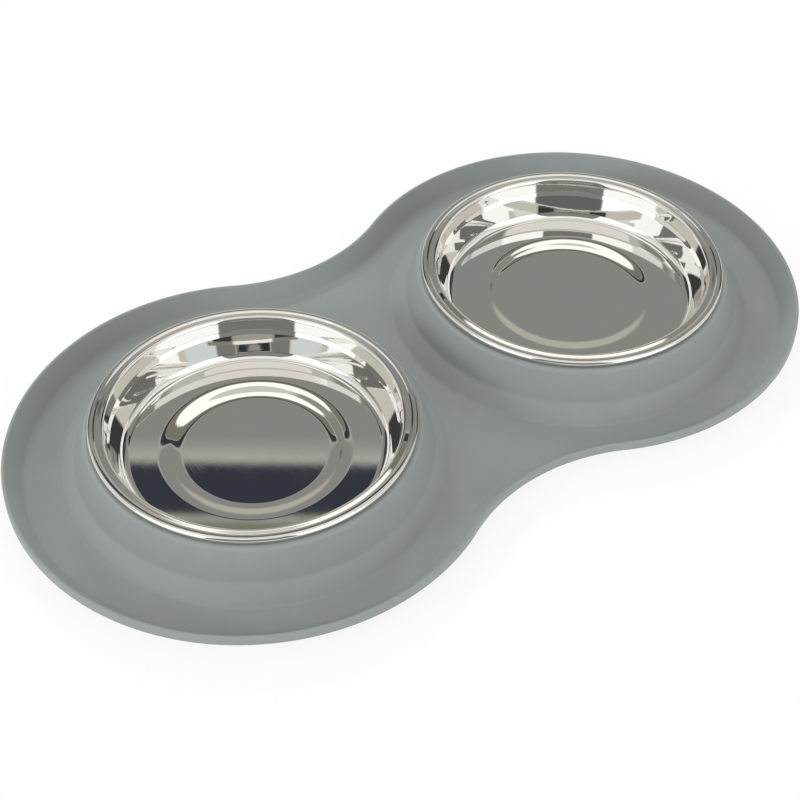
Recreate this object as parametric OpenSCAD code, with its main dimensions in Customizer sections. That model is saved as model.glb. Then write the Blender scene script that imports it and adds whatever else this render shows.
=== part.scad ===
// Double pet bowl: a one-piece silicone mat with two round collars, and two drawn steel bowls.
// Each bowl hangs in its collar by its rolled rim and lifts straight out.
// Millimetres. +X runs along the mat, +Z is up, and the ground is at zero height.

/* [Mat] */
// Length of the mat over its two round ends
mat_l = 371; // [360:1:400]
// Width of the mat across a round end
mat_w = 201; // [194:1:206]
// Width of the mat at its waist
waist_w = 159.2; // [140:0.2:176]
// Thickness of the silicone
mat_t = 3; // [2:0.1:4]

/* [Lip] */
// Height of the lip above the ground
lip_h = 12.1; // [10:0.1:18]
// Height of the upright outer face of the lip
lip_face_h = 4.2; // [3.8:0.1:6]
// Width of the crest of the lip
lip_crest_w = 1.3; // [1.2:0.1:3]
// Slope of the lip's inner wall, in degrees
lip_slope = 53; // [45:1:65]
// Hollow radius at the foot of the lip's inner wall
lip_foot_r = 4; // [1:0.5:5]

/* [Collars] */
// Distance between the axes of the two bowls
bowl_pitch = 166.8; // [160:0.2:172]
// How far the corner of a collar stands out past the rim of its bowl
collar_out = 1.5; // [0.5:0.1:3]
// Slope of the collar's wall, in degrees
collar_slope = 69; // [65:1:75]
// Height at which the collar's wall turns into its sloping foot
knee_h = 9.6; // [8:0.2:12]
// Width of the collar's sloping foot
foot_w = 6.8; // [5:0.2:9]
// Round of the collar's shoulder
shoulder_r = 2.5; // [1:0.1:3]
// Gap all round between a bowl's body and the hole in its collar
hole_gap = 0.5; // [0.3:0.1:1]
// Gap between the rolled rim of a bowl and the top of its collar
seat_gap = 0.2; // [0.1:0.1:0.4]

/* [Bowls] */
// Height of the rim above the ground
rim_h = 26.2; // [25:0.2:32]
// Diameter over the rolled rim
rim_d = 133; // [118:0.5:136]
// Width of the rim, from the inside of the wall to its outer edge
rim_w = 6.4; // [6:0.1:8]
// Diameter of the rolled edge itself
bead_d = 2.8; // [2.4:0.1:3]
// Thickness of the steel
sheet_t = 0.6; // [0.4:0.1:0.8]
// Depth of a bowl from its rim to its middle
bowl_depth = 19.2; // [18:0.2:22]
// Depth of the step in a bowl's wall below its rim
ledge_depth = 6.1; // [4:0.1:8]
// Diameter of the sunken middle of a bowl
disc_d = 65.1; // [56:0.1:70]
// How far the middle of a bowl lies below the ring round it
disc_drop = 1.4; // [0.8:0.1:2]

/* [Hidden] */

// Colours of the two materials
silicone_grey = [0.55, 0.58, 0.57];
steel_bright = [0.80, 0.80, 0.78];

// Fineness of the full circles, and of the tight and the wide bends in a section
$fn = 180;
tight_steps = 3;
wide_steps = 8;
tight_r = 2;
// Smallest bend that the inner side of a bent sheet keeps
least_bend_r = 0.2;

// Peanut outline: two end arcs joined by a hollow arc on each side of the waist
end_r = mat_w / 2;
end_x = (mat_l - mat_w) / 2;
waist_y = waist_w / 2;
waist_r = (end_x * end_x + waist_y * waist_y - end_r * end_r) / (2 * (end_r - waist_y));
waist_centre_y = waist_y + waist_r;
join_angle = atan2(waist_centre_y, end_x);

// Where two surfaces of the mat would only just touch, one lies this much deeper and they cross
graze = 0.05;
// How far a cut runs past the faces it opens
overrun = 2;

// Lip section, measured inward from the outline
lip_foot_in = lip_crest_w + (lip_h - mat_t) / tan(lip_slope);
lip_under_in = lip_foot_in - mat_t * tan(lip_slope / 2);
band_low_h = lip_h - lip_face_h;
band_in = lip_under_in - band_low_h / tan(lip_slope);
lip_inner_r = 0.8;
lip_outer_r = 0.6;
band_edge_r = 0.3;
band_root_r = 0.3;
lip_drawn_in = lip_foot_in + lip_foot_r * tan(lip_slope / 2) + overrun;

// Collar section, measured out from the bowl's axis
collar_top_h = rim_h - bead_d - seat_gap;
collar_top_r = rim_d / 2 + collar_out;
knee_x = collar_top_r + (collar_top_h - knee_h) / tan(collar_slope);
knee_r = 4;
foot_x = knee_x + foot_w;
foot_r = 3;
collar_drawn_r = foot_x + foot_r;
mouth_r = rim_d / 2 - rim_w;
hole_r = mouth_r + sheet_t + hole_gap;

// Bowl section, measured out from its axis and down from its rim
rim_r = rim_d / 2;
bead_r = bead_d / 2;
bead_rise_w = 0.8;
valley_in = 3.2;
valley_r = rim_r - valley_in;
valley_depth = 0.55;
rim_bend_r = 0.8;
mouth_bend_r = 1.6;
curl_end_depth = 1.9;
ledge_w = 1;
ledge_fall = 1.8;
ledge_in = 1.1;
ledge_top_r = mouth_r - ledge_in;
ledge_low_r = ledge_top_r - ledge_w;
ledge_low_depth = ledge_depth + ledge_fall;
ledge_bend_r = 0.9;
wall_foot_in = 4;
wall_foot_r = ledge_low_r - wall_foot_in;
wall_foot_bend_r = 4;
ring_depth = bowl_depth - disc_drop;
disc_slope_w = 4.9;
disc_r = disc_d / 2;
ring_inner_r = disc_r + disc_slope_w;
// The two bends of the step nearly meet in the middle of its slope
bend_share = 0.49;
disc_slope = atan(disc_drop / disc_slope_w);
disc_bend_r = bend_share * norm([disc_slope_w, disc_drop]) / tan(disc_slope / 2);

// Sections: a path is a list of [across, up, bend radius]

function flat(p) = [p[0], p[1]];
function unit(v) = v / norm(v);
function side_of(d) = [d[1], -d[0]];
function turn_of(u, w) = u[0] * w[1] - u[1] * w[0];

// Points round one bend of a path, or the bare corner where it has no bend
function bend(a, b, c) =
    let (u = unit(flat(b) - flat(a)), w = unit(flat(c) - flat(b)), sense = sign(turn_of(u, w)),
         angle = acos(max(-1, min(1, u * w))), start = flat(b) - u * b[2] * tan(angle / 2),
         centre = start - side_of(u) * b[2] * sense, steps = b[2] > tight_r ? wide_steps : tight_steps)
    b[2] == 0 || sense == 0 ? [flat(b)]
    : [for (i = [0 : steps]) let (s = angle * i / steps)
        centre + side_of(u) * b[2] * sense * cos(s) + u * b[2] * sin(s)];

// Points along an open path, with its ends as they are
function bent(path) = concat([flat(path[0])],
    [for (i = [1 : len(path) - 2]) each bend(path[i - 1], path[i], path[i + 1])],
    [flat(path[len(path) - 1])]);

// The same path moved sideways by one thickness, to the right of its direction
function beside(path, thick) = [for (i = [0 : len(path) - 1])
    let (last = len(path) - 1, before = max(i - 1, 0), after = min(i + 1, last),
         u = unit(flat(path[max(i, 1)]) - flat(path[max(i, 1) - 1])),
         w = unit(flat(path[min(i, last - 1) + 1]) - flat(path[min(i, last - 1)])),
         move = (side_of(u) + side_of(w)) * thick / (1 + u * w),
         sense = before == i || after == i ? 0 : sign(turn_of(u, w)))
    [path[i][0] + move[0], path[i][1] + move[1],
     path[i][2] == 0 ? 0 : max(path[i][2] + sense * thick, least_bend_r)]];

function reversed(list) = [for (i = [len(list) - 1 : -1 : 0]) list[i]];

// Closed section of a sheet of even thickness on the right of a path
function sheet(path, thick) = concat(bent(path), reversed(bent(beside(path, thick))));

// Upper side of a collar, from its hole out to the floor of the mat
collar_path = [
    [hole_r, collar_top_h, 0],
    [collar_top_r, collar_top_h, shoulder_r],
    [knee_x, knee_h, knee_r],
    [foot_x, mat_t - graze, foot_r],
    [collar_drawn_r, mat_t - graze, 0]];

// Outside of the lip, from under the mat up to its crest, in from the outline
function outside_path(deeper) = [
    [lip_drawn_in, -deeper, 0],
    [lip_under_in, -deeper, lip_foot_r + mat_t],
    [band_in + deeper, band_low_h, band_root_r],
    [deeper, band_low_h, band_edge_r],
    [deeper, lip_h + deeper, lip_outer_r],
    [lip_drawn_in, lip_h + deeper, 0]];

// Inside of the lip, from the floor of the mat over its crest, in from the outline
function inside_path(deeper) = [
    [lip_drawn_in, mat_t - deeper, 0],
    [lip_foot_in + deeper, mat_t - deeper, lip_foot_r],
    [lip_crest_w + deeper, lip_h + graze, lip_inner_r],
    [lip_crest_w / 2 + deeper, lip_h + graze, 0],
    [lip_crest_w / 2 + deeper, lip_h + 2 * overrun, 0]];

// Inner side of a bowl, from its middle up the wall and round the rolled rim
bowl_path = [
    [0, -bowl_depth, 0],
    [disc_r, -bowl_depth, disc_bend_r],
    [ring_inner_r, -ring_depth, disc_bend_r],
    [wall_foot_r, -ring_depth, wall_foot_bend_r],
    [ledge_low_r, -ledge_low_depth, ledge_bend_r],
    [ledge_top_r, -ledge_depth, ledge_bend_r],
    [mouth_r, 0, mouth_bend_r],
    [valley_r, -valley_depth, rim_bend_r],
    [valley_r + bead_rise_w, 0, rim_bend_r],
    [rim_r, 0, bead_r],
    [rim_r, -bead_d, bead_r],
    [rim_r - bead_d, -bead_d, bead_r],
    [rim_r - bead_d, -curl_end_depth, 0]];

// Everything within an end of the mat, up to a section of its lip
module end_disc(section) {
    for (side = [-1, 1]) translate([side * end_x, 0, 0]) rotate_extrude() polygon(section);
}

// The wedges between the centres of the four arcs, cut back along both sides of the waist
module waist_wedge(low, high, section) {
    difference() {
        translate([0, 0, low]) linear_extrude(high - low)
            polygon([[end_x, 0], [0, waist_centre_y], [-end_x, 0], [0, -waist_centre_y]]);
        for (side = [-1, 1]) translate([0, side * waist_centre_y, 0]) rotate_extrude() polygon(section);
    }
}

// The mat without its collars, as a solid tray
module tray_body() {
    end_disc(concat([[0, 0]], [for (p = bent(outside_path(0))) [end_r - p[0], p[1]]], [[0, lip_h]]));
    waist_wedge(0, lip_h, concat([[0, -overrun], [waist_r + lip_drawn_in, -overrun]],
        [for (p = bent(outside_path(graze))) [waist_r + p[0], p[1]]],
        [[waist_r + lip_drawn_in, lip_h + overrun], [0, lip_h + overrun]]));
}

// What the tray holds, up past its lip
module tray_inside() {
    end_disc(concat([[0, mat_t]], [for (p = bent(inside_path(0))) [end_r - p[0], p[1]]],
        [[0, lip_h + 2 * overrun]]));
    waist_wedge(mat_t, lip_h + overrun, concat([[0, 0], [waist_r + lip_drawn_in, 0]],
        [for (p = bent(inside_path(graze))) [waist_r + p[0], p[1]]], [[0, lip_h + 2 * overrun]]));
}

module collar_body() {
    rotate_extrude() polygon(concat([[0, collar_top_h]], bent(collar_path),
        [[collar_drawn_r, mat_t / 2], [0, mat_t / 2]]));
}

// The hollow under a collar, and its hole
module collar_hollow() {
    rotate_extrude() polygon(concat([[0, collar_top_h + overrun], [hole_r, collar_top_h + overrun]],
        bent(beside(collar_path, mat_t)), [[collar_drawn_r, -overrun], [0, -overrun]]));
}

module mat() {
    color(silicone_grey) difference() {
        union() {
            difference() {
                tray_body();
                tray_inside();
            }
            for (side = [-1, 1]) translate([side * bowl_pitch / 2, 0, 0]) collar_body();
        }
        for (side = [-1, 1]) translate([side * bowl_pitch / 2, 0, 0]) collar_hollow();
    }
}

module bowl() {
    color(steel_bright) translate([0, 0, rim_h]) rotate_extrude() polygon(sheet(bowl_path, sheet_t));
}

module left_bowl() {
    translate([-bowl_pitch / 2, 0, 0]) bowl();
}

module right_bowl() {
    translate([bowl_pitch / 2, 0, 0]) bowl();
}

mat();
left_bowl();
right_bowl();
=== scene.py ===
import math

import bpy
from mathutils import Matrix, Vector


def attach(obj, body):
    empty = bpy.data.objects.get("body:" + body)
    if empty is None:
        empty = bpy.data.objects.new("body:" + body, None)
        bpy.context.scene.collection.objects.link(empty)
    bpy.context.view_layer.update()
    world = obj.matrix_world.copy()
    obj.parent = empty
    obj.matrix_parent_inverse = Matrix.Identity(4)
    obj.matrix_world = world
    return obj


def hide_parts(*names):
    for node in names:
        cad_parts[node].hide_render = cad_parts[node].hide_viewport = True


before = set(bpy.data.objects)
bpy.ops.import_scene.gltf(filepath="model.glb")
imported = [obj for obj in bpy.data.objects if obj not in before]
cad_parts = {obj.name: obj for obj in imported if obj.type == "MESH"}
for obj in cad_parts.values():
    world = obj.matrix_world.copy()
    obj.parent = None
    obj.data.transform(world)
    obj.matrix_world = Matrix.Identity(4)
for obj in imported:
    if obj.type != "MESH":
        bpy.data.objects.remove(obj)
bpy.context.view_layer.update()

# Camera. It looks down over the front of the left end, at about 44 degrees, with both bowls in view.
# Its focal length is written in pixels of the 800 by 800 frame.
eye = Vector((-0.33104, -0.43112, 0.51204))
look_right = Vector((0.80686, -0.59069, 0.00792))
look_up = Vector((0.40551, 0.56356, 0.71970))
look_ahead = Vector((0.42958, 0.57748, -0.69425))
sensor_width = 36
focal_pixels = 1728.79
frame_pixels = 800
camera = bpy.data.objects.new("camera", bpy.data.cameras.new("camera"))
camera.matrix_world = Matrix((look_right, look_up, -look_ahead)).transposed().to_4x4()
camera.matrix_world.translation = eye
camera.data.sensor_width = sensor_width
camera.data.lens = sensor_width * focal_pixels / frame_pixels
bpy.context.scene.collection.objects.link(camera)
bpy.context.scene.camera = camera

# Mat. One moulding of grey silicone, 3 mm thick: a flat floor of peanut outline, a raised lip that leans
# outward to a narrow upright face, and two raised collars with open middles. Compression moulded, so it
# is satin all over, with a fine matt grain and faint flow marks.
mat_length = 0.371
mat_width = 0.201
waist_width = 0.1592
mat_thickness = 0.003
lip_height = 0.0121
lip_face_height = 0.0042
lip_crest_width = 0.0013
lip_slope = math.radians(53)
lip_foot_radius = 0.004
lip_inner_bend = 0.0008
lip_outer_bend = 0.0006
lip_face_bend = 0.0003
lip_foot_run = 0.0012
lip_drop_at_waist = 0.0013
lip_drop_reach = 0.061
bowl_pitch = 0.1668
collar_height = 0.0232
collar_hole_radius = 0.0612
collar_hole_bend = 0.0007
collar_radius = 0.068
collar_shoulder_bend = 0.0025
collar_knee_radius = 0.0732
collar_knee_height = 0.0096
collar_knee_bend = 0.004
collar_foot_end = 0.0800
collar_foot_bend = 0.003
collar_foot_run = 0.0018
least_bend = 0.0002
shading_hold = 0.0004
bend_step = math.radians(6)
nearly_straight = 1e-4
end_steps = 270
waist_steps = 90
collar_steps = 248
spine_radius = 0.05
mat_weld_reach = 0.00001
pigment_dark = (0.262, 0.287, 0.286, 1)
pigment_light = (0.280, 0.306, 0.305, 1)
dust_colour = (0.52, 0.53, 0.52, 1)
dust_share = 0.05
silicone_smear_dulling = 0.06


def arc_points(centre, radius, start, turn, steps):
    """Points on an arc from one angle through a turn, without its last point."""
    return [Vector((centre[0] + radius * math.cos(start + turn * i / steps),
                    centre[1] + radius * math.sin(start + turn * i / steps))) for i in range(steps)]


def peanut_outline():
    """The mat seen from above, anticlockwise: two end arcs and the hollow arcs of the waist."""
    end_radius = mat_width / 2
    end_x = (mat_length - mat_width) / 2
    waist_y = waist_width / 2
    waist_radius = (end_x ** 2 + waist_y ** 2 - end_radius ** 2) / (2 * (end_radius - waist_y))
    waist_centre = waist_y + waist_radius
    join = math.atan2(waist_centre, end_x)
    end_turn = 2 * (math.pi - join)
    waist_turn = -(math.pi - 2 * join)
    return (arc_points((end_x, 0), end_radius, join - math.pi, end_turn, end_steps)
            + arc_points((0, waist_centre), waist_radius, -join, waist_turn, waist_steps)
            + arc_points((-end_x, 0), end_radius, join, end_turn, end_steps)
            + arc_points((0, -waist_centre), waist_radius, math.pi - join, waist_turn, waist_steps))


def rounded(path, step=bend_step, hold=None):
    """Points along a path of (across, up, bend radius), each bend turned in small steps. With hold, one
    more point stands that far off each bend, so that the straight beside it is shaded straight."""
    points = [Vector(path[0][:2])]
    for before, corner, after in zip(path, path[1:], path[2:]):
        bend = corner[2]
        here = Vector(corner[:2])
        come = (here - Vector(before[:2])).normalized()
        leave = (Vector(after[:2]) - here).normalized()
        turn = come.cross(leave)
        angle = come.angle(leave)
        if bend == 0 or angle < nearly_straight:
            points.append(here)
            continue
        side = Vector((-come.y, come.x)) * math.copysign(1, turn)
        start = here - come * bend * math.tan(angle / 2)
        centre = start + side * bend
        count = max(2, math.ceil(angle / step))
        if hold and (start - points[-1]).length > 2 * hold:
            points.append(start - come * hold)
        points += [centre - side * bend * math.cos(angle * i / count)
                   + come * bend * math.sin(angle * i / count) for i in range(count + 1)]
        room = (Vector(after[:2]) - points[-1]).length - after[2] * math.tan(angle / 2)
        if hold and room > 2 * hold:
            points.append(points[-1] + leave * hold)
    return points + [Vector(path[-1][:2])]


def section_curve(name, points, closed=False):
    """A flat curve object that a Geometry Nodes tree reads."""
    curve = bpy.data.curves.new(name, "CURVE")
    curve.dimensions = "3D"
    spline = curve.splines.new("POLY")
    spline.points.add(len(points) - 1)
    for target, point in zip(spline.points, points):
        target.co = (point[0], point[1], 0, 1)
    spline.use_cyclic_u = closed
    piece = bpy.data.objects.new(name, curve)
    bpy.context.scene.collection.objects.link(piece)
    return piece


def down_section(points):
    """A section turned upside down, because a sweep draws it with up as minus Y."""
    return [Vector((p[0], -p[1])) for p in points]


def lip_section():
    """The lip across from the outline: floor, crest, upright outer face, and back under to the floor."""
    foot = lip_crest_width + (lip_height - mat_thickness) / math.tan(lip_slope)
    under = foot - mat_thickness * math.tan(lip_slope / 2)
    face_low = lip_height - lip_face_height
    face_in = under - face_low / math.tan(lip_slope)
    toe = foot + lip_foot_radius * math.tan(lip_slope / 2)
    return [Vector((-p[0], p[1])) for p in rounded([
        (toe + lip_foot_run, mat_thickness, 0), (toe + shading_hold, mat_thickness, 0),
        (foot, mat_thickness, lip_foot_radius), (lip_crest_width, lip_height, lip_inner_bend),
        (0, lip_height, lip_outer_bend), (0, face_low, lip_face_bend), (face_in, face_low, lip_face_bend),
        (under, 0, lip_foot_radius + mat_thickness), (toe + shading_hold, 0, 0), (toe + lip_foot_run, 0, 0)])]


def beside(path, thick):
    """The same path moved to its right by one thickness, with its bends kept open."""
    last = len(path) - 1
    moved = []
    for i, (across, up, bend) in enumerate(path):
        before = Vector(path[max(i, 1)][:2]) - Vector(path[max(i, 1) - 1][:2])
        after = Vector(path[min(i, last - 1) + 1][:2]) - Vector(path[min(i, last - 1)][:2])
        come, leave = before.normalized(), after.normalized()
        shift = (Vector((come.y, -come.x)) + Vector((leave.y, -leave.x))) * thick / (1 + come.dot(leave))
        turn = come.cross(leave)
        if bend and abs(turn) > nearly_straight:
            bend = max(bend + math.copysign(thick, turn), least_bend)
        moved.append((across + shift.x, up + shift.y, bend))
    return moved


def collar_section():
    """A collar from the floor's under side, up inside, over its top, down its wall and its sloping foot."""
    over = [(collar_hole_radius, collar_height - mat_thickness, 0),
            (collar_hole_radius, collar_height, collar_hole_bend),
            (collar_radius, collar_height, collar_shoulder_bend),
            (collar_knee_radius, collar_knee_height, collar_knee_bend),
            (collar_foot_end, mat_thickness, collar_foot_bend),
            (collar_foot_end + collar_foot_run, mat_thickness, 0)]
    under = rounded(beside(over[1:], mat_thickness), hold=shading_hold)
    return under[::-1] + rounded(over, hold=shading_hold)[1:]


def tree_sockets(tree, inputs):
    """Named inputs on a node tree, and the identifiers that a modifier sets them by."""
    new_socket = tree.interface.new_socket
    new_socket("Geometry", in_out="INPUT", socket_type="NodeSocketGeometry")
    made = {name: new_socket(name, in_out="INPUT", socket_type="NodeSocket" + kind).identifier
            for name, kind in inputs.items()}
    new_socket("Geometry", in_out="OUTPUT", socket_type="NodeSocketGeometry")
    return made


def add_node(tree, kind, settings=None, **links):
    """A node with its settings and its linked or plain inputs, named in words or as in0, in1 and so on."""
    node = tree.nodes.new(kind)
    for key, value in (settings or {}).items():
        setattr(node, key, value)
    for key, value in links.items():
        numbered = key.startswith("in") and key[2:].isdigit()
        socket = node.inputs[int(key[2:]) if numbered else key.replace("_", " ")]
        if isinstance(value, bpy.types.NodeSocket):
            tree.links.new(value, socket)
        else:
            socket.default_value = value
    return node


def work_out(tree, operation, *values):
    """A Math node on links or plain numbers, and its result."""
    given = {"in%d" % i: value for i, value in enumerate(values)}
    return add_node(tree, "ShaderNodeMath", {"operation": operation}, **given).outputs[0]


def mix_colours(tree, share, first, second):
    """A Mix node from the first colour to the second, each a link or a plain colour."""
    mixed = add_node(tree, "ShaderNodeMix", {"data_type": "RGBA"}, Factor=share, in6=first, in7=second)
    return mixed.outputs[2]


def sweep(tree, path, section):
    """Nodes that carry a section round a path, upright all the way."""
    upright = add_node(tree, "GeometryNodeSetCurveNormal", {"mode": "Z_UP"}, Curve=path)
    swept = add_node(tree, "GeometryNodeCurveToMesh", Curve=upright.outputs["Curve"])
    tree.links.new(section, swept.inputs["Profile Curve"])
    return swept.outputs["Mesh"]


def spin_round(tree, given, section):
    """Nodes that turn a section full circle about the upright axis."""
    shape = add_node(tree, "GeometryNodeObjectInfo", Object=given[section]).outputs["Geometry"]
    ring = add_node(tree, "GeometryNodeCurvePrimitiveCircle", Resolution=given["Steps Round"],
                    Radius=given["Spine Radius"])
    return sweep(tree, ring.outputs["Curve"], shape)


def move_by(tree, shape, **shift):
    """Nodes that move a shape by the distances given, along X or Z."""
    place = add_node(tree, "ShaderNodeCombineXYZ", **shift)
    return add_node(tree, "GeometryNodeTransform", Geometry=shape, Translation=place.outputs[0]).outputs[0]


def end_tree(tree, shape, material):
    """Nodes that end a tree: real geometry, smooth shading and one material."""
    real = add_node(tree, "GeometryNodeRealizeInstances", Geometry=shape)
    smooth = add_node(tree, "GeometryNodeSetShadeSmooth", Geometry=real.outputs[0])
    finish = add_node(tree, "GeometryNodeSetMaterial", Geometry=smooth.outputs[0], Material=material)
    tree.links.new(finish.outputs[0], tree.nodes.new("NodeGroupOutput").inputs["Geometry"])


def bake_nodes(carrier, values, tree, name):
    """Runs a node tree on an object and keeps the result as a plain mesh object."""
    modifier = carrier.modifiers.new("build", "NODES")
    modifier.node_group = tree
    for identifier, value in values.items():
        modifier[identifier] = value
    evaluated = carrier.evaluated_get(bpy.context.evaluated_depsgraph_get())
    mesh = bpy.data.meshes.new_from_object(evaluated)
    mesh.name = name
    bpy.data.objects.remove(carrier)
    piece = bpy.data.objects.new(name, mesh)
    bpy.context.scene.collection.objects.link(piece)
    return piece


def lower_at_waist(tree, lip, given):
    """Nodes that let the lip down a little where the mat is narrow, most at its crest."""
    here = tree.nodes.new("GeometryNodeInputPosition").outputs[0]
    spot = add_node(tree, "ShaderNodeSeparateXYZ", in0=here)
    along = work_out(tree, "DIVIDE", spot.outputs["X"], given["Lip Drop Reach"])
    squared = work_out(tree, "MULTIPLY", along, along)
    near_waist = work_out(tree, "EXPONENT", work_out(tree, "MULTIPLY", squared, -1.0))
    drop = work_out(tree, "MULTIPLY", near_waist, given["Lip Drop At Waist"])
    share = add_node(tree, "ShaderNodeMapRange", Value=spot.outputs["Z"], From_Min=given["Thickness"],
                     From_Max=given["Lip Height"])
    down = work_out(tree, "MULTIPLY", drop, share.outputs[0])
    offset = add_node(tree, "ShaderNodeCombineXYZ", Z=work_out(tree, "MULTIPLY", down, -1.0))
    return add_node(tree, "GeometryNodeSetPosition", Geometry=lip, Offset=offset.outputs[0]).outputs[0]


def floor_sheets(tree, sides, given):
    """Nodes that fill between the open edges of the lip and the collars: the floor's top and under side."""
    neighbours = tree.nodes.new("GeometryNodeInputMeshEdgeNeighbors").outputs[0]
    open_edge = add_node(tree, "FunctionNodeCompare", {"data_type": "INT", "operation": "EQUAL"})
    tree.links.new(neighbours, open_edge.inputs["A"])
    for socket in open_edge.inputs:
        if socket.name == "B" and socket.type == "INT":
            socket.default_value = 1
    here = tree.nodes.new("GeometryNodeInputPosition").outputs[0]
    height = add_node(tree, "ShaderNodeSeparateXYZ", in0=here).outputs["Z"]
    middle = work_out(tree, "MULTIPLY", given["Thickness"], 0.5)
    sheets = []
    for side in ("GREATER_THAN", "LESS_THAN"):
        level = add_node(tree, "FunctionNodeCompare", {"data_type": "FLOAT", "operation": side},
                         in0=height, in1=middle)
        edges = add_node(tree, "FunctionNodeBooleanMath", {"operation": "AND"},
                         in0=open_edge.outputs[0], in1=level.outputs[0])
        loops = add_node(tree, "GeometryNodeMeshToCurve", Mesh=sides, Selection=edges.outputs[0])
        sheets.append(add_node(tree, "GeometryNodeFillCurve", Curve=loops.outputs[0]).outputs[0])
    above, below = sheets
    return (move_by(tree, above, Z=given["Thickness"]),
            add_node(tree, "GeometryNodeFlipFaces", Mesh=below).outputs[0])


def moulding_tree():
    """The mat's tree: a lip swept round the outline, two spun collars, and the floor between them."""
    tree = bpy.data.node_groups.new("moulded mat", "GeometryNodeTree")
    ids = tree_sockets(tree, {"Lip Section": "Object", "Collar Section": "Object", "Bowl Pitch": "Float",
                              "Thickness": "Float", "Lip Height": "Float", "Lip Drop At Waist": "Float",
                              "Lip Drop Reach": "Float", "Spine Radius": "Float", "Steps Round": "Int",
                              "Silicone": "Material"})
    given = tree.nodes.new("NodeGroupInput").outputs
    lip_shape = add_node(tree, "GeometryNodeObjectInfo", Object=given["Lip Section"]).outputs["Geometry"]
    lip = lower_at_waist(tree, sweep(tree, given["Geometry"], lip_shape), given)
    collar = spin_round(tree, given, "Collar Section")
    half_pitch = work_out(tree, "MULTIPLY", given["Bowl Pitch"], 0.5)
    sides = tree.nodes.new("GeometryNodeJoinGeometry")
    for sign in (-1, 1):
        placed = move_by(tree, collar, X=work_out(tree, "MULTIPLY", half_pitch, sign))
        tree.links.new(placed, sides.inputs[0])
    tree.links.new(lip, sides.inputs[0])
    whole = tree.nodes.new("GeometryNodeJoinGeometry")
    for shape in (sides.outputs[0], *floor_sheets(tree, sides.outputs[0], given)):
        tree.links.new(shape, whole.inputs[0])
    welded = add_node(tree, "GeometryNodeMergeByDistance", Geometry=whole.outputs[0], Distance=mat_weld_reach)
    end_tree(tree, welded.outputs[0], given["Silicone"])
    return tree, ids


def shader_sockets(tree, inputs, outputs):
    """Named inputs and outputs on a shader node group."""
    for names, way in ((inputs, "INPUT"), (outputs, "OUTPUT")):
        for name, kind in names.items():
            tree.interface.new_socket(name, in_out=way, socket_type="NodeSocket" + kind)


def wear_group():
    """Traces of handling, shared by the silicone and the steel: hair-fine scratches and soft smears."""
    scratch_turns = (0.4, 2.1)
    scratch_stretch = 0.06
    scratch_level = 0.56
    scratch_half_width = 0.012
    tree = bpy.data.node_groups.new("traces of handling", "ShaderNodeTree")
    shader_sockets(tree, {"Vector": "Vector", "Scratch Scale": "Float", "Smear Scale": "Float"},
                   {"Scratches": "Float", "Smears": "Float"})
    given = tree.nodes.new("NodeGroupInput").outputs
    out = tree.nodes.new("NodeGroupOutput")
    cloud = add_node(tree, "ShaderNodeTexNoise", Vector=given["Vector"], Scale=given["Smear Scale"],
                     Detail=4, Roughness=0.62, Distortion=0.6)
    smears = add_node(tree, "ShaderNodeMapRange", {"interpolation_type": "SMOOTHSTEP"},
                      Value=cloud.outputs["Fac"], From_Min=0.48, From_Max=0.72)
    tree.links.new(smears.outputs[0], out.inputs["Smears"])
    drawn = None
    for turn in scratch_turns:
        laid = add_node(tree, "ShaderNodeMapping", Vector=given["Vector"], Rotation=(0, 0, turn),
                        Scale=(1, scratch_stretch, 1))
        wave = add_node(tree, "ShaderNodeTexNoise", Vector=laid.outputs[0], Scale=given["Scratch Scale"],
                        Detail=1, Distortion=0.25)
        apart = work_out(tree, "ABSOLUTE", work_out(tree, "SUBTRACT", wave.outputs["Fac"], scratch_level))
        line = add_node(tree, "ShaderNodeMapRange", Value=apart, From_Min=scratch_half_width, From_Max=0.0)
        drawn = line.outputs[0] if drawn is None else work_out(tree, "MAXIMUM", drawn, line.outputs[0])
    tree.links.new(work_out(tree, "MULTIPLY", drawn, cloud.outputs["Fac"]), out.inputs["Scratches"])
    return tree


def new_material(name):
    """A material with its node tree and its Principled shader."""
    material = bpy.data.materials.new(name)
    material.use_nodes = True
    return material, material.node_tree, material.node_tree.nodes["Principled BSDF"]


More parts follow.
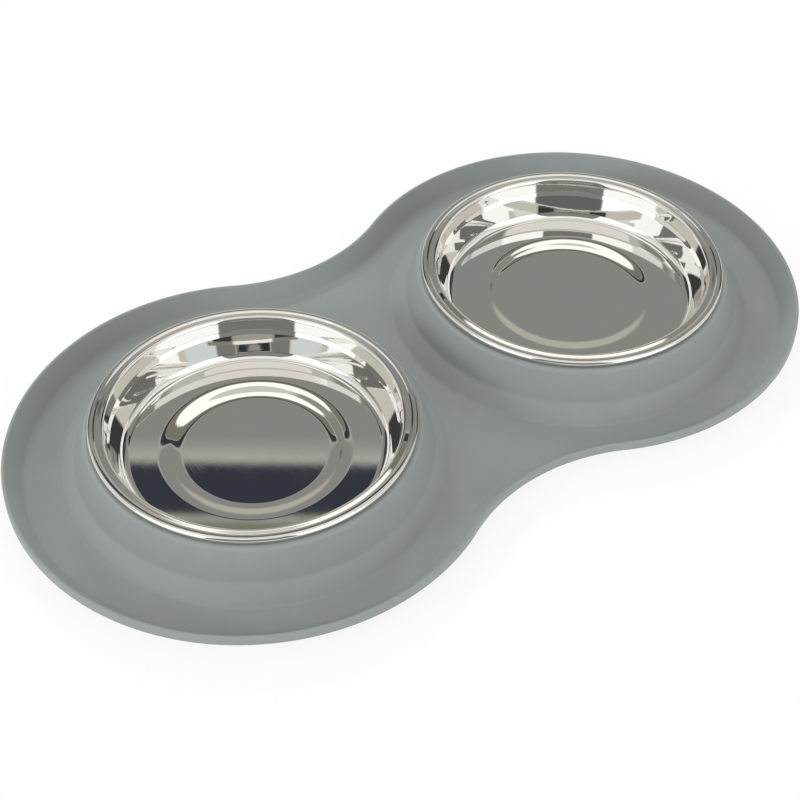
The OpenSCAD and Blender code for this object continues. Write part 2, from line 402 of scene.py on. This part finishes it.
def silicone_material():
    """Pigmented silicone: cloudy pigment, faint flow marks, matt grain and a little dust."""
    material, tree, shader = new_material("grey silicone")
    shader.inputs["IOR"].default_value = 1.42
    place = tree.nodes.new("ShaderNodeTexCoord").outputs["Object"]
    wear = add_node(tree, "ShaderNodeGroup", {"node_tree": traces}, Vector=place, Scratch_Scale=260,
                    Smear_Scale=38)
    pigment = add_node(tree, "ShaderNodeTexNoise", Vector=place, Scale=14, Detail=3, Roughness=0.5)
    tone = mix_colours(tree, pigment.outputs["Fac"], pigment_dark, pigment_light)
    dust = work_out(tree, "MULTIPLY", wear.outputs["Smears"], dust_share)
    tree.links.new(mix_colours(tree, dust, tone, dust_colour), shader.inputs["Base Color"])
    grain = add_node(tree, "ShaderNodeTexNoise", Vector=place, Scale=1900, Detail=2, Roughness=0.6)
    gloss = add_node(tree, "ShaderNodeMapRange", Value=grain.outputs["Fac"], To_Min=0.45, To_Max=0.57)
    duller = work_out(tree, "MULTIPLY_ADD", wear.outputs["Smears"], silicone_smear_dulling, gloss.outputs[0])
    tree.links.new(duller, shader.inputs["Roughness"])
    flow = add_node(tree, "ShaderNodeTexNoise", Vector=place, Scale=90, Detail=2, Distortion=1.5)
    low = add_node(tree, "ShaderNodeBump", Strength=0.12, Distance=0.0002, Height=flow.outputs["Fac"])
    fine = add_node(tree, "ShaderNodeBump", Strength=0.25, Distance=0.00003, Height=grain.outputs["Fac"],
                    Normal=low.outputs[0])
    nicks = add_node(tree, "ShaderNodeBump", {"invert": True}, Strength=0.08, Distance=0.00002,
                     Height=wear.outputs["Scratches"], Normal=fine.outputs[0])
    tree.links.new(nicks.outputs[0], shader.inputs["Normal"])
    return material


def from_spine(points):
    """A section's points measured from the spine that the spin carries it on."""
    return down_section([p - Vector((spine_radius, 0)) for p in points])


traces = wear_group()
outline = section_curve("outline", peanut_outline(), closed=True)
lip_shape = section_curve("lip section", down_section(lip_section()))
collar_shape = section_curve("collar section", from_spine(collar_section()))
mould, mould_ids = moulding_tree()
silicone_mat = bake_nodes(outline, {
    mould_ids["Lip Section"]: lip_shape, mould_ids["Collar Section"]: collar_shape,
    mould_ids["Bowl Pitch"]: bowl_pitch, mould_ids["Thickness"]: mat_thickness,
    mould_ids["Lip Height"]: lip_height, mould_ids["Lip Drop At Waist"]: lip_drop_at_waist,
    mould_ids["Lip Drop Reach"]: lip_drop_reach, mould_ids["Spine Radius"]: spine_radius,
    mould_ids["Steps Round"]: collar_steps, mould_ids["Silicone"]: silicone_material()},
    mould, "silicone_mat")
for helper in (lip_shape, collar_shape):
    bpy.data.objects.remove(helper)
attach(silicone_mat, "mat")
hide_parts("mat")

# Bowls. Two alike, drawn from 0.6 mm stainless sheet: sunken middle, sloping step and flat ring, a wall
# with a small ledge, and a rim with a narrow groove inside its rolled edge. Polished on a lathe, so
# the shine carries faint rings about each bowl's own axis.
rim_height = 0.0262
rim_radius = 0.0665
bead_width = 0.0028
curl_end_depth = 0.0019
groove_inner_radius = 0.0601
groove_middle_radius = 0.0633
groove_outer_radius = 0.0641
groove_depth = 0.00055
groove_bend = 0.0008
mouth_bend = 0.0016
ledge_outer_radius = 0.0590
ledge_inner_radius = 0.0580
ledge_upper_depth = 0.0061
ledge_lower_depth = 0.0079
ledge_bend = 0.0009
wall_foot_radius = 0.0540
wall_foot_bend = 0.004
ring_depth = 0.0178
step_outer_radius = 0.03745
step_inner_radius = 0.03255
step_bend = 0.0178
bowl_depth = 0.0192
steel_thickness = 0.0006
fine_bend_step = math.radians(3)
bowl_steps = 288
bowl_weld_reach = 0.000005
steel_colour = (0.80, 0.79, 0.77, 1)
steel_smear_dulling = 0.012


def bowl_section():
    """A bowl from its middle up the inside, round the rolled rim and back down outside to its middle."""
    bead = bead_width / 2
    curl_radius = rim_radius - bead_width
    inside = [(0, -bowl_depth, 0), (step_inner_radius, -bowl_depth, step_bend),
              (step_outer_radius, -ring_depth, step_bend), (wall_foot_radius, -ring_depth, wall_foot_bend),
              (ledge_inner_radius, -ledge_lower_depth, ledge_bend),
              (ledge_outer_radius, -ledge_upper_depth, ledge_bend),
              (groove_inner_radius, 0, mouth_bend), (groove_middle_radius, -groove_depth, groove_bend),
              (groove_outer_radius, 0, groove_bend), (rim_radius, 0, bead), (rim_radius, -bead_width, bead),
              (curl_radius, -bead_width, bead), (curl_radius, -curl_end_depth, 0)]
    outside = beside(inside, steel_thickness)
    loop = rounded(inside, fine_bend_step, shading_hold) + rounded(outside, bend_step, shading_hold)[::-1]
    return [Vector((p[0], p[1] + rim_height)) for p in loop]


def spinning_tree():
    """A bowl's tree: its section spun round and moved to its own axis."""
    tree = bpy.data.node_groups.new("spun bowl", "GeometryNodeTree")
    ids = tree_sockets(tree, {"Section": "Object", "Axis X": "Float", "Spine Radius": "Float",
                              "Steps Round": "Int", "Steel": "Material"})
    given = tree.nodes.new("NodeGroupInput").outputs
    shell = spin_round(tree, given, "Section")
    welded = add_node(tree, "GeometryNodeMergeByDistance", Geometry=shell, Distance=bowl_weld_reach)
    end_tree(tree, move_by(tree, welded.outputs[0], X=given["Axis X"]), given["Steel"])
    return tree, ids


def steel_material(name, axis_x):
    """Polished steel: lathe rings about the bowl's axis, hazy patches, smears and hair-fine scratches."""
    material, tree, shader = new_material(name)
    shader.inputs["Metallic"].default_value = 1
    shader.inputs["Base Color"].default_value = steel_colour
    place = tree.nodes.new("ShaderNodeTexCoord").outputs["Object"]
    centred = add_node(tree, "ShaderNodeMapping", Vector=place, Location=(-axis_x, 0, 0)).outputs[0]
    split = add_node(tree, "ShaderNodeSeparateXYZ", in0=centred)
    flat = add_node(tree, "ShaderNodeCombineXYZ", X=split.outputs["X"], Y=split.outputs["Y"])
    from_axis = add_node(tree, "ShaderNodeVectorMath", {"operation": "LENGTH"}, in0=flat.outputs[0])
    rings = add_node(tree, "ShaderNodeTexNoise", {"noise_dimensions": "1D"}, W=from_axis.outputs["Value"],
                     Scale=2600, Detail=2, Roughness=0.7)
    haze = add_node(tree, "ShaderNodeTexNoise", Vector=centred, Scale=55, Detail=3, Roughness=0.6)
    uneven = work_out(tree, "MULTIPLY", rings.outputs["Fac"], haze.outputs["Fac"])
    gloss = add_node(tree, "ShaderNodeMapRange", Value=uneven, To_Min=0.0, To_Max=0.07)
    wear = add_node(tree, "ShaderNodeGroup", {"node_tree": traces}, Vector=centred, Scratch_Scale=420,
                    Smear_Scale=30)
    smeared = work_out(tree, "MULTIPLY_ADD", wear.outputs["Smears"], steel_smear_dulling, gloss.outputs[0])
    tree.links.new(smeared, shader.inputs["Roughness"])
    turned = add_node(tree, "ShaderNodeBump", Strength=0.03, Distance=0.00001, Height=rings.outputs["Fac"])
    drawn = add_node(tree, "ShaderNodeBump", Strength=0.05, Distance=0.00006, Height=haze.outputs["Fac"],
                     Normal=turned.outputs[0])
    nicks = add_node(tree, "ShaderNodeBump", {"invert": True}, Strength=0.04, Distance=0.00001,
                     Height=wear.outputs["Scratches"], Normal=drawn.outputs[0])
    tree.links.new(nicks.outputs[0], shader.inputs["Normal"])
    return material


spin, spin_ids = spinning_tree()
for bowl_name, axis_x in (("left_bowl", -bowl_pitch / 2), ("right_bowl", bowl_pitch / 2)):
    wall_shape = section_curve("bowl section", from_spine(bowl_section()))
    # The blank only carries the tree, which makes the whole bowl from the section.
    blank = section_curve("blank", [Vector((0, 0)), Vector((rim_radius, 0))])
    bowl = bake_nodes(blank, {
        spin_ids["Section"]: wall_shape, spin_ids["Axis X"]: axis_x,
        spin_ids["Spine Radius"]: spine_radius, spin_ids["Steps Round"]: bowl_steps,
        spin_ids["Steel"]: steel_material(bowl_name + " steel", axis_x)}, spin, "steel_" + bowl_name)
    bpy.data.objects.remove(wall_shape)
    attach(bowl, bowl_name)
    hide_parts(bowl_name)

# Floor. A plain white floor that runs out of view. The camera and the steel see it mostly by its own even
# light, so that it stays near white, and a little by the lamps, so that it keeps the object's shadow.
floor_reach = 4
floor_colour = (0.86, 0.86, 0.86, 1)
floor_roughness = 0.9
floor_own_light = 0.88
floor_mesh = bpy.data.meshes.new("floor")
floor_corners = [(x * floor_reach, y * floor_reach, 0) for x, y in ((-1, -1), (1, -1), (1, 1), (-1, 1))]
floor_mesh.from_pydata(floor_corners, [], [(0, 1, 2, 3)])
floor = bpy.data.objects.new("floor", floor_mesh)
bpy.context.scene.collection.objects.link(floor)
white, white_tree, white_shader = new_material("white floor")
white_shader.inputs["Base Color"].default_value = floor_colour
white_shader.inputs["Roughness"].default_value = floor_roughness
glow = add_node(white_tree, "ShaderNodeEmission", Color=(1, 1, 1, 1))
seen = white_tree.nodes.new("ShaderNodeLightPath").outputs
looked_at = work_out(white_tree, "MAXIMUM", seen["Is Camera Ray"], seen["Is Glossy Ray"])
own_light = work_out(white_tree, "MULTIPLY", looked_at, floor_own_light)
blend = add_node(white_tree, "ShaderNodeMixShader", in0=own_light, in1=white_shader.outputs[0],
                 in2=glow.outputs[0])
white_tree.links.new(blend.outputs[0], white_tree.nodes["Material Output"].inputs["Surface"])
floor_mesh.materials.append(white)

# Studio. A plain tent: pale sides, a bright roof, a grey backdrop with a dark slot over its top edge, and
# two white screens behind the camera with a dark gap between them. Azimuths are degrees clockwise from
# the camera's heading, and heights are degrees above level.
heading = Vector((look_ahead.x, look_ahead.y, 0)).normalized()
lamp_distance = 2.2
lamp_width = 0.5
tent_colour = (0.80, 0.77, 0.70)
# Each card: middle azimuth, half width, lower edge, upper edge, softness, colour.
backdrop = [
    (0, 52, -20, 46.1, 2, (0.29, 0.29, 0.275)),
    (0, 30, -20, 28, 10, (0.52, 0.50, 0.44)),
    (40, 12.5, 17, 40, 4, (0.06, 0.06, 0.055)),
    (-40, 12.5, 17, 40, 4, (0.06, 0.06, 0.055)),
    (0, 24, 46.1, 47.9, 0.4, (0.04, 0.045, 0.06)),
    (0, 24, 47.95, 54, 0.5, (0.22, 0.21, 0.17)),
    (39, 14, 44, 62, 3, (0.28, 0.28, 0.265)),
    (-39, 14, 44, 62, 3, (0.28, 0.28, 0.265))]
screens = [
    (-75, 22, 36, 62, 6, (0.93, 1.0, 1.02)),
    (75, 22, 36, 62, 6, (0.93, 1.0, 1.02)),
    (0, 180, 53, 91, 2, (1.05, 1.03, 0.98)),
    (0, 70, 65.5, 91, 1.5, (0.70, 0.69, 0.66)),
    (1, 29, 52.5, 66, 2, (1.28, 1.26, 1.20)),
    (50, 19, 50, 66, 4, (0.33, 0.32, 0.29)),
    (-50, 19, 50, 66, 4, (0.33, 0.32, 0.29)),
    (-130, 23, -5, 60, 3, (1.45, 1.46, 1.46)),
    (130, 23, -5, 60, 3, (1.45, 1.46, 1.46)),
    (180, 27, -5, 60, 2, (0.26, 0.26, 0.25)),
    (180, 27, -5, 14, 5, (0.15, 0.15, 0.15))]
# Each lamp: name, azimuth, height, power.
lamps = [
    ("lamp low on the right", 120, 7, 5.3),
    ("lamp right of the camera", 150, 20, 4.0),
    ("lamp left of the camera", 240, 20, 12.4),
    ("lamp behind the object", 0, 35, 7.9),
    ("lamp behind on the left", 330, 35, 7.4),
    ("lamp overhead", 0, 72, 0.8)]


def card_group():
    """One card of the tent: its colour inside its edges, which fade over the softness, and what is behind."""
    tree = bpy.data.node_groups.new("tent card", "ShaderNodeTree")
    shader_sockets(tree, {"Azimuth": "Float", "Height": "Float", "Middle": "Float", "Half Width": "Float",
                          "Lower Edge": "Float", "Upper Edge": "Float", "Softness": "Float",
                          "Behind": "Color", "Card": "Color"}, {"Seen": "Color"})
    given = tree.nodes.new("NodeGroupInput").outputs
    away = work_out(tree, "SUBTRACT", given["Azimuth"], given["Middle"])
    apart = work_out(tree, "ABSOLUTE", work_out(tree, "WRAP", away, 180, -180))
    inside = [work_out(tree, "SUBTRACT", given["Half Width"], apart),
              work_out(tree, "SUBTRACT", given["Height"], given["Lower Edge"]),
              work_out(tree, "SUBTRACT", given["Upper Edge"], given["Height"])]
    half_soft = work_out(tree, "MULTIPLY", given["Softness"], 0.5)
    minus_soft = work_out(tree, "MULTIPLY", given["Softness"], -0.5)
    mask = None
    for reach in inside:
        edge = add_node(tree, "ShaderNodeMapRange", {"interpolation_type": "SMOOTHSTEP"}, Value=reach,
                        From_Min=minus_soft, From_Max=half_soft).outputs[0]
        mask = edge if mask is None else work_out(tree, "MULTIPLY", mask, edge)
    tree.links.new(mix_colours(tree, mask, given["Behind"], given["Card"]),
                   tree.nodes.new("NodeGroupOutput").inputs["Seen"])
    return tree


def studio_world():
    """The tent as the world's colour by direction, which the camera itself sees as plain white. The
    backdrop is flat, so its heights follow straight level lines. The screens stand round the object."""
    world = bpy.data.worlds.new("studio")
    world.use_nodes = True
    tree = world.node_tree
    toward = tree.nodes.new("ShaderNodeTexCoord").outputs["Generated"]
    ahead, aside = (add_node(tree, "ShaderNodeVectorMath", {"operation": "DOT_PRODUCT"}, in0=toward,
                             in1=way).outputs["Value"] for way in (heading, (heading.y, -heading.x, 0)))
    up = add_node(tree, "ShaderNodeSeparateXYZ", in0=toward).outputs["Z"]
    azimuth = work_out(tree, "DEGREES", work_out(tree, "ARCTAN2", aside, ahead))
    height = work_out(tree, "DEGREES", work_out(tree, "ARCSINE", up))
    flat_height = work_out(tree, "DEGREES", work_out(tree, "ARCTAN2", up, ahead))
    group = card_group()
    colour = (*tent_colour, 1)
    for cards, level in ((backdrop, flat_height), (screens, height)):
        for middle, half_width, lower, upper, softness, shade in cards:
            colour = add_node(tree, "ShaderNodeGroup", {"node_tree": group}, Azimuth=azimuth, Height=level,
                              Middle=middle, Half_Width=half_width, Lower_Edge=lower, Upper_Edge=upper,
                              Softness=softness, Behind=colour, Card=(*shade, 1)).outputs["Seen"]
    camera_ray = tree.nodes.new("ShaderNodeLightPath").outputs["Is Camera Ray"]
    shown = mix_colours(tree, camera_ray, colour, (1, 1, 1, 1))
    tree.links.new(shown, tree.nodes["Background"].inputs["Color"])
    tree.nodes["Background"].inputs["Strength"].default_value = 1
    return world


def soft_lamp(name, azimuth, height, power):
    """A round soft lamp that shines on the object from an azimuth and a height, unseen in the steel."""
    turned = Matrix.Rotation(-math.radians(azimuth), 3, "Z") @ heading
    place = turned * math.cos(math.radians(height)) + Vector((0, 0, math.sin(math.radians(height))))
    lamp = bpy.data.lights.new(name, "AREA")
    lamp.shape = "DISK"
    lamp.size = lamp_width
    lamp.energy = power
    holder = bpy.data.objects.new(name, lamp)
    holder.location = place * lamp_distance
    holder.rotation_euler = place.to_track_quat("Z", "Y").to_euler()
    holder.visible_glossy = False
    bpy.context.scene.collection.objects.link(holder)


bpy.context.scene.world = studio_world()
for name, azimuth, height, power in lamps:
    soft_lamp(name, azimuth, height, power)
bpy.context.scene.view_settings.view_transform = "Standard"
